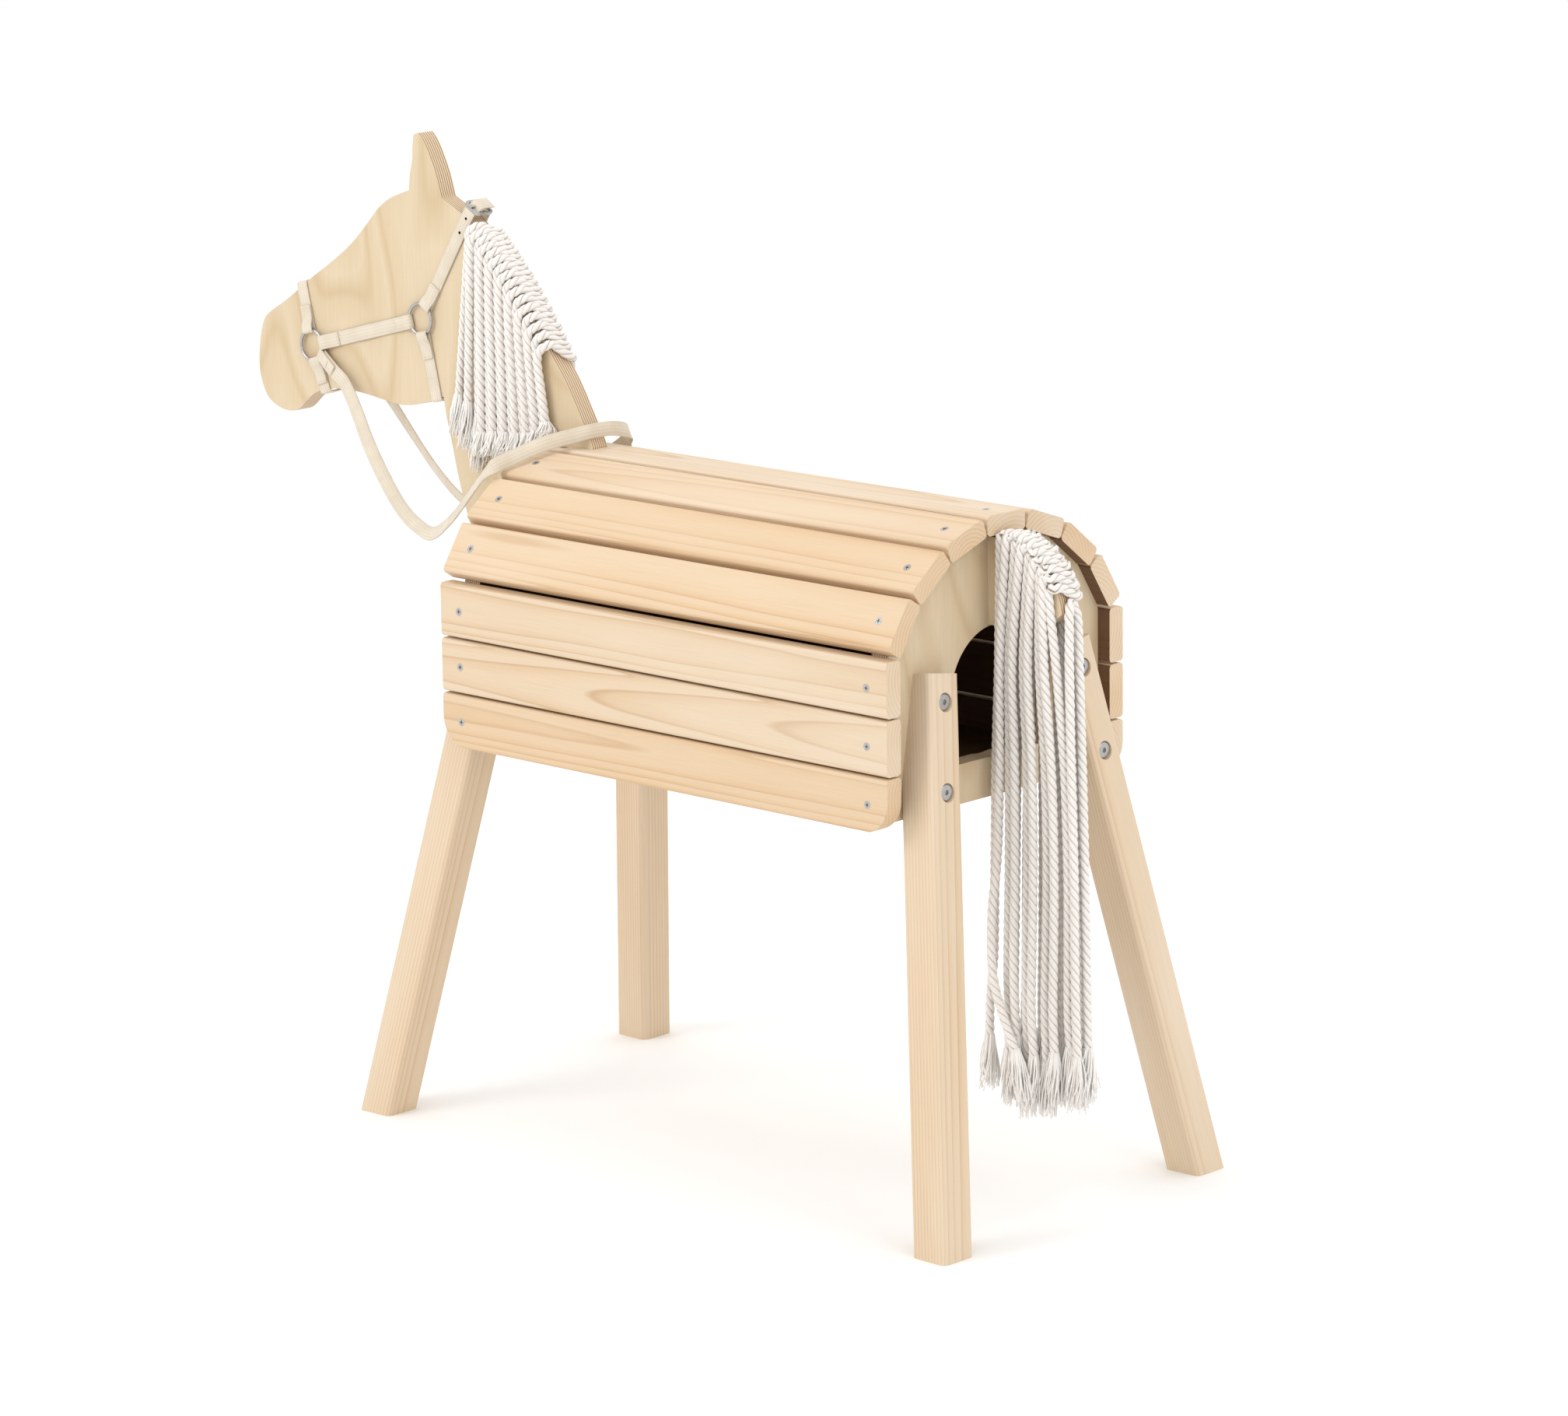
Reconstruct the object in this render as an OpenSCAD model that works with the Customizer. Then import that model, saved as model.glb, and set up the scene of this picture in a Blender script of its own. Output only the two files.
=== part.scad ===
// Slatted play horse: a pine barrel on four splayed legs, with a plywood head and tail board,
// rope mane and tail, a webbing halter and a rein. The horse looks along -X.

/* [Barrel] */
// Length of the slats
slat_l = 600; // [560:10:640]
// Width of one slat
slat_w = 55; // [53:1:57]
// Thickness of the slats
slat_t = 20; // [18:1:22]
// Length of slat that stands past each end panel
overhang = 15; // [12:1:18]
// Gap between the upright slats
side_gap = 1.5; // [1:0.5:2]
// Height of the middle of the upper upright slat
slat_mid_z = 533; // [525:1:540]
// Height of the bottom edge of the end panels
panel_z = 400; // [395:1:405]
// Thickness of the plywood
ply = 21; // [20:0.5:22]
// Width of the arched opening in the rear panel
arch_w = 130; // [110:5:140]
// Thickness of the board that closes the barrel below
floor_t = 12; // [9:1:15]

/* [Legs] */
// Thickness of the square legs
leg_w = 42; // [40:1:44]
// Splay of the legs along the horse
splay_long = 10; // [9:0.5:11]
// Splay of the legs to the side
splay_side = 9.5; // [9:0.5:10]
// Distance from the middle of the barrel to the middle of a foot, along the horse
foot_x = 380; // [376:1:384]
// Distance from the centre plane to the middle of a foot
foot_y = 188.5; // [186:0.5:191]

/* [Ropes and webbing] */
// Diameter of the mane and tail ropes
rope_d = 9; // [8:0.5:9]
// Width of the webbing
web_w = 15; // [14:0.5:15]
// Thickness of the webbing
web_t = 1.5; // [1.2:0.1:1.6]
// Outer diameter of the halter rings
ring_d = 36; // [35:0.5:37]

/* [Hidden] */
$fn = 48;
pine = [0.93, 0.79, 0.60];
birch = [0.93, 0.83, 0.66];
cotton = [0.93, 0.92, 0.88];
canvas = [0.92, 0.88, 0.80];
steel = [0.72, 0.72, 0.70];

// The barrel's middle lies this far behind the origin, which is midway between muzzle and heels.
barrel_x = 168.8;

// Barrel section: the slats' inner faces lie on the edges of the end panels.
turn = [0, 19, 38, 57, 90, 90, 90];
panel_y = [
    slat_w / 2,
    slat_w * (1 / 2 + cos(19)),
    slat_w * (1 / 2 + cos(19) + cos(38)),
    slat_w * (1 / 2 + cos(19) + cos(38) + cos(57))
];
panel_top = [
    slat_mid_z + slat_w * (1 / 2 + sin(57) + sin(38) + sin(19)),
    slat_mid_z + slat_w * (1 / 2 + sin(57) + sin(38)),
    slat_mid_z + slat_w * (1 / 2 + sin(57)),
    slat_mid_z + slat_w / 2
];
side_y = panel_y[3];
slat_mid = [
    [0, panel_top[0]],
    [(panel_y[0] + panel_y[1]) / 2, (panel_top[0] + panel_top[1]) / 2],
    [(panel_y[1] + panel_y[2]) / 2, (panel_top[1] + panel_top[2]) / 2],
    [(panel_y[2] + panel_y[3]) / 2, (panel_top[2] + panel_top[3]) / 2],
    [side_y, slat_mid_z],
    [side_y, slat_mid_z - slat_w - side_gap],
    [side_y, slat_mid_z - 2 * (slat_w + side_gap)]
];
slat_r = 4;
slat_corner_r = 32;
joint_gap = 0.6;
panel_out = slat_l / 2 - overhang;
panel_in = panel_out - ply;
screw_x = (panel_out + panel_in) / 2;
screw_r = 1.9;
head_r = 4;
arch_z = 439;
arch_mid_z = 503;

// Legs
leg_r = 6;
leg_len = 551;
bolt_z = [512, 429];
bolt_r = 3;
bolt_head_r = 8;
bolt_head_t = 3;
bolt_sink = 4.5;
lean_x = tan(splay_long);
lean_y = tan(splay_side) / cos(splay_long);
leg_face = leg_w / 2 / cos(splay_long);

// Half-lapped plywood boards
fit = 0.2;
neck_lap_z = 565;
tail_lap_z = 612;
neck_back = -243;
crest_foot = [-243, 680];

// Crest of the neck, where the mane hangs: t runs from 0 at the poll to 1 near the withers.
function crest(t) = [-400 + 100 * t, 885 - 115 * t + 32 * t * (1 - t)];
crest_n = [0.755, 0.656];

// Rounded top of the tail board: a runs from 0, upright, to 90 degrees, level.
function tail_edge(a) = [300 + 78 * sin(a), 583 + 72 * cos(a)];

// Halter rings, in the horse's side view, and how far they stand from the centre plane
ring_wire = 3.5;
ring_mid_r = (ring_d - ring_wire) / 2;
front_ring = [-652, 744];
rear_ring = [-486, 788];
ring_y = ply / 2 + 3.9;
cheek_turn = 14.8;
cheek_l = 171.7;

// Ropes hang from the top of the crest and of the tail board
rope_gap = 0.4;
lift = rope_d / 2 + rope_gap;
out = ply / 2 + rope_d / 2 + rope_gap;
step = 3 * rope_d;

MANE = 16;
// Lower ends of the mane ropes, as [x, z], left side and right side
mane_left = [
    [-430, 713], [-413, 707], [-402, 692], [-394, 678], [-386, 676], [-377, 680], [-369, 672], [-361, 681],
    [-353, 673], [-344, 682], [-336, 675], [-328, 684], [-321, 678], [-314, 688], [-307, 690], [-300, 698]
];
mane_right = [
    [-424, 708], [-412, 716], [-403, 700], [-395, 706], [-387, 690], [-379, 698], [-371, 688], [-362, 694],
    [-354, 684], [-345, 690], [-337, 680], [-329, 688], [-322, 686], [-315, 692], [-308, 688], [-301, 700]
];
// How far a rope's two sides are shifted along the edge that it crosses, up on the left and down on the right
mane_skew = 0.045;
tail_skew = 4;
// How far out every other rope hangs
mane_layer = 6.2;
tail_layer = 5.5;

TAIL = 10;
// Strands of the tail, as [x, z] from below the board to the lower end, left side and right side
tail_left = [
    [[303, 540], [299, 440], [297, 340], [295, 250], [290, 200], [289, 162]],
    [[309, 540], [308, 440], [305, 350], [302, 290], [305, 235], [318, 195], [336, 158]],
    [[316, 540], [316, 440], [315, 340], [313, 250], [313, 200], [314, 150]],
    [[324.5, 540], [327, 440], [327, 340], [325, 250], [326, 200], [328, 168]],
    [[334, 540], [338, 440], [338, 340], [336, 250], [336, 200], [338, 142]],
    [[343.5, 540], [348, 440], [349, 340], [347, 250], [346, 200], [349, 152]],
    [[353, 540], [358, 440], [360, 340], [358, 250], [357, 200], [359, 146]],
    [[362.5, 540], [368, 440], [371, 340], [370, 250], [369, 200], [371, 158]],
    [[372, 540], [377, 440], [381, 340], [381, 250], [381, 200], [384, 164]],
    [[384, 540], [386, 440], [389, 340], [390, 250], [391, 200], [393, 156]]
];
tail_right = [
    [[303, 540], [299, 440], [297, 340], [295, 250], [294, 200], [292, 160]],
    [[310, 540], [308, 440], [306, 340], [305, 250], [304, 200], [303, 172]],
    [[317, 540], [317, 440], [316, 340], [315, 250], [314, 200], [313, 156]],
    [[326.5, 540], [327, 440], [327, 340], [326, 250], [325, 200], [325, 166]],
    [[336, 540], [338, 440], [338, 340], [338, 250], [338, 200], [338, 160]],
    [[345.5, 540], [348, 440], [349, 340], [350, 250], [350, 200], [351, 150]],
    [[355, 540], [359, 440], [361, 340], [362, 250], [362, 200], [363, 167]],
    [[364.5, 540], [369, 440], [372, 340], [374, 250], [375, 200], [376, 158]],
    [[374, 540], [379, 440], [383, 340], [386, 250], [387, 200], [388, 154]],
    [[384.5, 540], [388, 440], [391, 340], [393, 250], [394, 200], [395, 162]]
];
// Where a strand bulges past its neighbours: its distance out from its rope's own layer
tail_bulge = [0, 0, 0, 5, 8.5, 9.8, 10];
// How far in towards the centre plane each rope hangs below the board
tail_pull = [0, 0, 0, 0, 0, 1, 3, 6, 9, 14];

// Middle of the rein, from the left front ring over the withers to the right front ring
rein_route = [
    [-636, -14.4, 734.6], [-626, -17.5, 729], [-612, -20, 720.5], [-594, -22, 709], [-573, -26.5, 684],
    [-551, -32, 654], [-527, -36, 625], [-503, -40, 601], [-482, -43.5, 586], [-464, -46, 578],
    [-441, -52, 574], [-421, -58, 580], [-402, -64, 591], [-382, -71, 604], [-362, -78, 619],
    [-332, -88, 643], [-303, -97, 664], [-289, -73, 676], [-272, -46, 687], [-256, -24, 693],
    [-246, -12, 696.5], [-240, 0, 698], [-236, 12, 698], [-235, 26, 695], [-244, 44, 689],
    [-262, 62, 681], [-282, 81, 674], [-303, 97, 664], [-332, 88, 643], [-362, 78, 619],
    [-382, 71, 604], [-402, 64, 591], [-421, 58, 580], [-441, 52, 574], [-464, 46, 578],
    [-482, 43.5, 586], [-503, 40, 601], [-527, 36, 625], [-551, 32, 654], [-573, 26.5, 684],
    [-594, 22, 709], [-612, 20, 720.5], [-626, 17.5, 729], [-636, 14.4, 734.6]
];

// ---- curves ----

// A smooth curve through the points, each stretch cut into pieces no longer than the given length
function at(p, i) = p[max(0, min(len(p) - 1, i))];
function between(a, b, c, d, t) =
    b + t * (c - a) / 2 + t * t * (2 * a - 5 * b + 4 * c - d) / 2 + t * t * t * (3 * b - a - 3 * c + d) / 2;
function smooth(p, piece) = concat(
    [for (i = [0 : len(p) - 2])
        let (n = max(1, ceil(norm(p[i + 1] - p[i]) / piece)))
        for (k = [0 : n - 1]) between(at(p, i - 1), p[i], p[i + 1], at(p, i + 2), k / n)],
    [p[len(p) - 1]]
);
function unit(v) = v / norm(v);
function along(p, i) = unit(at(p, i + 1) - at(p, i - 1));

// The skin of a tube whose rings all have the same number of points
function tube_points(rings) = [for (r = rings) each r];
function tube_faces(rings, sides) = concat(
    [[for (k = [0 : sides - 1]) sides - 1 - k]],
    [for (i = [0 : rings - 2]) for (k = [0 : sides - 1])
        let (a = i * sides, b = a + sides, m = (k + 1) % sides)
        each [[a + k, a + m, b + k], [a + m, b + m, b + k]]],
    [[for (k = [0 : sides - 1]) (rings - 1) * sides + k]]
);

// A round rope that runs mostly up, down and across, so that X always lies across it
function rope_ring(p, i) =
    let (u = unit(cross([1, 0, 0], along(p, i))), v = cross(along(p, i), u))
    [for (k = [0 : 7]) p[i] + rope_d / 2 * (cos(45 * k) * u + sin(45 * k) * v)];
module rope(route) {
    rings = [for (i = [0 : len(route) - 1]) rope_ring(route, i)];
    polyhedron(tube_points(rings), tube_faces(len(rings), 8), convexity = 6);
}

// A flat strap whose upper edge leans towards the centre plane
function band_ring(p, i) =
    let (
        t = along(p, i), lean = -0.45 * max(-1, min(1, p[i][1] / 50)), up = [0, lean, 0.9],
        w = unit(up - (up * t) * t), n = cross(t, w)
    )
    [for (c = [[1, 1], [1, -1], [-1, -1], [-1, 1]]) p[i] + c[0] * w * web_w / 2 + c[1] * n * web_t / 2];
module band(route) {
    rings = [for (i = [0 : len(route) - 1]) band_ring(route, i)];
    polyhedron(tube_points(rings), tube_faces(len(rings), 4), convexity = 6);
}

// ---- routes of the ropes ----

// One side of a mane rope from its top to its end; odd ropes hang outside their neighbours
function mane_side(i, side, end) =
    let (
        c = crest(i / (MANE - 1) + side * mane_skew), layer = i % 2 == 1 ? mane_layer : 0, y = out + layer,
        a = [c[0] - 6, c[1] - 14]
    )
    [
        [c[0] + crest_n[0] * lift, side * 8, c[1] + crest_n[1] * lift],
        [c[0] + crest_n[0] * 1.9, side * (out + 0.2), c[1] + crest_n[1] * 1.9],
        [c[0] - crest_n[0] * 5, side * (out + 0.6 + layer / 2), c[1] - crest_n[1] * 5],
        [a[0], side * y, a[1]],
        [a[0] * 0.6 + end[0] * 0.4, side * y, a[1] * 0.6 + end[1] * 0.4],
        [a[0] * 0.2 + end[0] * 0.8, side * y, a[1] * 0.2 + end[1] * 0.8],
        [end[0], side * y, end[1]]
    ];
function backwards(p) = [for (i = [len(p) - 1 : -1 : 0]) p[i]];
function mane_route(i) =
    let (c = crest(i / (MANE - 1)))
    concat(
        backwards(mane_side(i, -1, mane_left[i])),
        [[c[0] + crest_n[0] * lift, 0, c[1] + crest_n[1] * lift]],
        mane_side(i, 1, mane_right[i])
    );

// Place of a tail rope's top on the board's rounded edge
function tail_angle(i) = 8.5 + 7.5 * i;

// One side of a tail rope; the second rope's left strand swings out across its neighbours,
// and the last rope hangs in front of the board's end
function tail_side(i, side, strand) =
    let (
        a = tail_angle(i) + side * tail_skew, e = tail_edge(a), n = [sin(a), cos(a)],
        layer = i % 2 == 1 ? tail_layer : 0, swings = i == 1 && side < 0
    )
    concat(
        i == TAIL - 1 ? [[382.6, side * 5.4, 590.5], [383.7, side * 6.4, 578]] : [
            [e[0] + n[0] * lift, side * 8, e[1] + n[1] * lift],
            [e[0] + n[0] * 1.9, side * (out + 0.2), e[1] + n[1] * 1.9],
            [e[0] - n[0] * 5, side * (out + 0.6 + layer / 2), e[1] - n[1] * 5]
        ],
        [for (k = [0 : len(strand) - 1])
            [strand[k][0],
             side * (out + layer + (swings ? tail_bulge[k] : 0) - tail_pull[i] * (k == 0 && i < 9 ? 0.35 : 1)),
             strand[k][1]]]
    );
function tail_route(i) =
    let (a = tail_angle(i), e = tail_edge(a))
    concat(
        backwards(tail_side(i, -1, tail_left[i])),
        [[e[0] + sin(a) * lift, 0, e[1] + cos(a) * lift]],
        tail_side(i, 1, tail_right[i])
    );

// ---- placing ----

module on_barrel() { translate([barrel_x, 0, 0]) children(); }

// Local +Z points out of the slat, and the origin is the middle of its inner face
module at_slat(k, side) {
    on_barrel() mirror([0, side < 0 ? 1 : 0, 0])
        translate([0, slat_mid[k][0], slat_mid[k][1]]) rotate([-turn[k], 0, 0]) children();
}

// Local +X runs along a strap that leaves the ring at that angle, and +Y across the head
module from_ring(ring, angle) {
    on_barrel() translate([ring[0], 0, ring[1]]) rotate([0, -angle, 0]) children();
}

module both_sides() {
    children();
    mirror([0, 1, 0]) children();
}

// ---- barrel ----

module rounded(w, h, r) {
    square([w - 2 * r, h], center = true);
    square([w, h - 2 * r], center = true);
    for (x = [-1, 1], y = [-1, 1]) translate([x * (w / 2 - r), y * (h / 2 - r)]) circle(r);
}

module screw_shape(gap) {
    translate([0, 0, slat_t - 3]) cylinder(h = 3.01, r1 = screw_r + gap, r2 = head_r + gap);
    translate([0, 0, slat_t - 45]) cylinder(h = 43, r = screw_r + gap);
}

module screws_of(k, gap) {
    translate([screw_x, 0, 0]) screw_shape(gap);
    if (k == 0) for (y = [-19, 19]) translate([-screw_x, y, 0]) screw_shape(gap);
    else translate([-screw_x, 0, 0]) screw_shape(gap);
}

module slat(k, side) {
    color(pine) difference() {
        at_slat(k, side) intersection() {
            translate([-slat_l / 2, 0, slat_t / 2]) rotate([90, 0, 90])
                linear_extrude(slat_l) rounded(slat_w - joint_gap, slat_t, slat_r);
            if (k == 6) translate([0, 0, -1]) linear_extrude(slat_t + 2) lower_slat_outline();
        }
        at_slat(k, side) screws_of(k, 0.1);
        if (k == 0) on_barrel() translate([-slat_l / 2 - 1, -ply / 2 - fit, panel_top[0] - 1])
            cube([slat_l / 2 + 1 + neck_back + fit, ply + 2 * fit, slat_t + 2]);
    }
}

// The lowest slats have two rounded corners; local +Y points down there
module lower_slat_outline() {
    h = slat_w;
    translate([-slat_l / 2, -h / 2]) square([slat_l, h - slat_corner_r]);
    translate([-slat_l / 2 + slat_corner_r, -h / 2]) square([slat_l - 2 * slat_corner_r, h]);
    for (s = [-1, 1]) translate([s * (slat_l / 2 - slat_corner_r), h / 2 - slat_corner_r]) circle(slat_corner_r);
}

module panel_outline() {
    polygon(concat(
        [[-side_y, panel_z], [side_y, panel_z]],
        [for (i = [3 : -1 : 0]) [panel_y[i], panel_top[i]]],
        [for (i = [0 : 3]) [-panel_y[i], panel_top[i]]]
    ));
}

module panel_blank(end) {
    on_barrel() translate([end < 0 ? -panel_out : panel_in, 0, 0]) rotate([90, 0, 90])
        linear_extrude(ply) panel_outline();
}

module panel_holes(end) {
    at_slat(0, 1) screws_of(0, 0.1);
    for (k = [1 : 6], side = [-1, 1]) at_slat(k, side) screws_of(k, 0.1);
    for (side = [-1, 1]) bolt_places(end, side) translate([0, 0, -60]) cylinder(h = 80, r = bolt_r + 0.25);
}

module front_panel() {
    color(birch) difference() {
        panel_blank(-1);
        panel_holes(-1);
        on_barrel() translate([-panel_out - 1, -ply / 2 - fit, neck_lap_z])
            cube([ply + 2, ply + 2 * fit, 200]);
    }
}

module rear_panel() {
    color(birch) difference() {
        panel_blank(1);
        panel_holes(1);
        on_barrel() translate([panel_in - 1, 0, 0]) rotate([90, 0, 90]) linear_extrude(ply + 2) {
            translate([-arch_w / 2, arch_z]) square([arch_w, arch_mid_z - arch_z]);
            translate([0, arch_mid_z]) circle(arch_w / 2);
        }
        on_barrel() translate([panel_in - 1, -ply / 2 - fit, tail_lap_z])
            cube([ply + 2, ply + 2 * fit, 200]);
    }
}

// The board that closes the barrel below lies between the panels and the lowest slats
module bottom_board() {
    color(birch) on_barrel() translate([-panel_in + joint_gap, -side_y + joint_gap, panel_z + 4])
        cube([2 * (panel_in - joint_gap), 2 * (side_y - joint_gap), floor_t]);
}

// ---- legs ----

// Local origin at a bolt's place on the leg's outer face, +Z pointing out along the horse
module bolt_places(end, side) {
    for (z = bolt_z)
        on_barrel() mirror([end < 0 ? 1 : 0, 0, 0]) mirror([0, side < 0 ? 1 : 0, 0])
            translate([foot_x + leg_face - z * lean_x, foot_y - z * lean_y, z]) rotate([0, 90, 0]) children();
}

module leg(end, side) {
    color(pine) difference() {
        on_barrel() mirror([end < 0 ? 1 : 0, 0, 0]) mirror([0, side < 0 ? 1 : 0, 0]) intersection() {
            translate([foot_x, foot_y, 0]) rotate([splay_side, -splay_long, 0])
                translate([0, 0, -20]) linear_extrude(leg_len + 20) rounded(leg_w, leg_w, leg_r);
            translate([panel_out, 0, 0]) cube([200, 300, 600]);
        }
        bolt_places(end, side) {
            translate([0, 0, -60]) cylinder(h = 80, r = bolt_r + 0.25);
            translate([0, 0, -bolt_sink]) cylinder(h = 30, r = bolt_head_r + 1.2);
        }
    }
}

module leg_bolts() {
    color(steel) for (end = [-1, 1], side = [-1, 1]) bolt_places(end, side) difference() {
        union() {
            translate([0, 0, -bolt_sink]) cylinder(h = bolt_head_t - 0.8, r = bolt_head_r);
            translate([0, 0, -bolt_sink + bolt_head_t - 0.8])
                cylinder(h = 0.8, r1 = bolt_head_r, r2 = bolt_head_r - 0.8);
            translate([0, 0, -60]) cylinder(h = 60 - bolt_sink, r = bolt_r);
        }
        translate([0, 0, -bolt_sink + 1]) cylinder(h = 3, r = 2.9, $fn = 6);
    }
}

module leg_nuts() {
    color(steel) for (end = [-1, 1], side = [-1, 1], z = bolt_z)
        on_barrel() mirror([end < 0 ? 1 : 0, 0, 0]) mirror([0, side < 0 ? 1 : 0, 0])
            translate([panel_in, foot_y - z * lean_y, z]) rotate([0, -90, 0]) difference() {
                union() {
                    cylinder(h = 1.6, r = 8);
                    cylinder(h = 6.5, r = 5.77, $fn = 6);
                }
                translate([0, 0, -1]) cylinder(h = 9, r = bolt_r + 0.05);
            }
}

module slat_screws() {
    color(steel) {
        at_slat(0, 1) screw_solids(0);
        for (k = [1 : 6], side = [-1, 1]) at_slat(k, side) screw_solids(k);
    }
}

module screw_solids(k) {
    difference() {
        screws_of(k, 0);
        for (x = k == 0 ? [screw_x] : [-screw_x, screw_x]) translate([x, 0, slat_t - 1.6]) cross_slot();
        if (k == 0) for (y = [-19, 19]) translate([-screw_x, y, slat_t - 1.6]) cross_slot();
    }
}

module cross_slot() {
    for (a = [0, 90]) rotate([0, 0, a]) translate([-2, -0.5, 0]) cube([4, 1, 3]);
}

// ---- head and tail boards ----

face_run = [
    [-502, 920], [-516, 915], [-533, 908], [-550, 896], [-571, 875], [-593, 855], [-620, 836],
    [-658, 812], [-690, 790], [-717, 774], [-729, 764], [-736, 744], [-739, 712], [-731, 686],
    [-717, 674], [-697, 669], [-680, 672], [-665, 684], [-650, 694], [-626, 700], [-591, 701],
    [-560, 698], [-538, 695], [-518, 694], [-497, 697], [-476, 703], [-458, 709]
];
chest_run = [[-458, 709], [-455, 692], [-448, 665], [-438, 625], [-426, 588], [-408, 548], [-380, 508], [-345, 482], [-310, 472]];
ear_run = [[-455, 918], [-462, 940], [-472, 961], [-481, 975], [-487, 980]];
ear_front_run = [[-493, 978], [-495, 965], [-496, 952], [-500, 936], [-502, 920]];

module head_outline() {
    polygon(concat(
        smooth(face_run, 6),
        smooth(chest_run, 10),
        [
            [-panel_out - fit, 470], [-panel_out - fit, neck_lap_z], [-panel_in + fit, neck_lap_z],
            [-panel_in + fit, 540], [neck_back, 540], crest_foot
        ],
        smooth(concat([[-245, 685], [-257, 706], [-279, 743]], [for (t = [1 : -0.125 : 0]) crest(t)],
            [[-416, 898], [-433, 906], [-454, 916]]), 8),
        smooth(ear_run, 6),
        smooth(ear_front_run, 6)
    ));
}

module head_and_neck() {
    color(birch) on_barrel() rotate([90, 0, 0]) linear_extrude(ply, center = true) head_outline();
}

module tail_board() {
    color(birch) difference() {
        on_barrel() rotate([90, 0, 0]) linear_extrude(ply, center = true) polygon(concat(
            [
                [-neck_back, 655], [-neck_back, 569], [panel_in - fit, 569], [panel_in - fit, tail_lap_z],
                [panel_out + fit, tail_lap_z], [panel_out + fit, 569]
            ],
            [[330, 569], [364, 580], [372, 586]],
            [for (a = [84 : -6 : 0]) tail_edge(a)]
        ));
        at_slat(0, 1) screws_of(0, 0.1);
    }
}

// ---- halter ----

module ring(place, side) {
    color(steel) on_barrel() translate([place[0], side * ring_y, place[1]]) rotate([90, 0, 0])
        rotate_extrude() translate([ring_mid_r, 0]) circle(ring_wire / 2);
}

// The webbing bunches into a sleeve round the ring's wire
module sleeve() {
    translate([0, ring_y, 0]) rotate([90, 0, 0]) rotate([0, 0, -19.5]) rotate_extrude(angle = 39)
        translate([ring_mid_r, 0]) difference() {
            circle(ring_wire / 2 + 0.3 + web_t);
            circle(ring_wire / 2 + 0.3);
        }
}

web_in = ply / 2 + 0.35;
web_out = web_in + web_t;
fold_l = 42;
module fold_section() {
    polygon([
        [18.4, ring_y - 2.6], [18.4, ring_y + 2.6], [30, web_out + web_t], [fold_l, web_out + web_t],
        [fold_l, web_in], [30, web_in]
    ]);
}

module fold() {
    sleeve();
    linear_extrude(web_w, center = true) fold_section();
}

// A strap over the board's edge from the left ring to the right ring, reaching that far from them
module hoop(reach) {
    both_sides() fold();
    linear_extrude(web_w, center = true) difference() {
        translate([(30 + reach) / 2 + web_t / 2, 0]) rounded(reach + web_t - 30, 2 * web_out, 2);
        translate([29 - 5, -web_in]) square([reach - 29 + 5, 2 * web_in]);
    }
}

module noseband() { color(canvas) from_ring(front_ring, 103.8) hoop(66.5); }
module chin_strap() { color(canvas) from_ring(front_ring, -71) hoop(51); }
module throat_strap() { color(canvas) from_ring(rear_ring, -77) hoop(85.5); }

module cheek_strap(side) {
    color(canvas) mirror([0, side < 0 ? 1 : 0, 0]) from_ring(front_ring, cheek_turn) {
        fold();
        translate([cheek_l, 0, 0]) mirror([1, 0, 0]) fold();
        translate([fold_l - 1, web_in, -web_w / 2]) cube([cheek_l - 2 * fold_l + 2, web_t, web_w]);
    }
}

// The crown strap's buckle lies on the crest, in a frame whose +X points out of the crest
crown_turn = 57.8;
crown_reach = 139;
buckle_bar_r = 1.5;
buckle_bar_x = 3.7;
module at_buckle() { from_ring(rear_ring, crown_turn) translate([crown_reach, 0, 0]) children(); }

module crown_strap_left() {
    color(canvas) difference() {
        union() {
            from_ring(rear_ring, crown_turn) mirror([0, 1, 0]) {
                fold();
                translate([30, web_in, -web_w / 2]) cube([crown_reach - 30 + 0.35 + web_t, web_t, web_w]);
            }
            at_buckle() linear_extrude(web_w, center = true) polygon([
                [0.35, -web_out], [0.35, -9], [7.4, -3.2], [7.4, 14], [7.4 + web_t, 14],
                [7.4 + web_t, -3.9], [0.35 + web_t, -9.6], [0.35 + web_t, -web_out]
            ]);
        }
        at_buckle() translate([5.45, -5.75, 0]) rotate([0, 0, -51]) translate([-4, 0, 0])
            rotate([0, 90, 0]) cylinder(h = 8, r = 2.4);
        at_buckle() translate([5, 9, 0]) rotate([0, 90, 0]) cylinder(h = 6, r = 1.3);
        for (d = [9, 27]) from_ring(rear_ring, crown_turn)
            translate([crown_reach - d, -8, 0]) rotate([90, 0, 0]) cylinder(h = 8, r = 1.3);
    }
}

module crown_strap_right() {
    color(canvas) difference() {
        union() {
            from_ring(rear_ring, crown_turn) {
                fold();
                translate([30, web_in, -web_w / 2]) cube([crown_reach - 30 + 0.35 + web_t, web_t, web_w]);
            }
            at_buckle() linear_extrude(web_w, center = true) difference() {
                union() {
                    translate([0.35, 0]) square([web_t, web_out]);
                    translate([buckle_bar_x, 0]) circle(buckle_bar_r + 0.3 + web_t);
                }
                translate([buckle_bar_x, 0]) circle(buckle_bar_r + 0.3);
            }
        }
        at_buckle() translate([-0.5, -8, -2.1]) cube([9, 12, 4.2]);
    }
}

module buckle_frame() {
    color(steel) at_buckle() {
        translate([buckle_bar_x - 1.3, 0, 0]) rotate([0, 90, 0]) linear_extrude(2.6) difference() {
            rounded(23, 24, 5);
            rounded(17.6, 18.6, 3);
        }
        translate([buckle_bar_x, 0, -10]) cylinder(h = 20, r = buckle_bar_r);
    }
}

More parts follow.
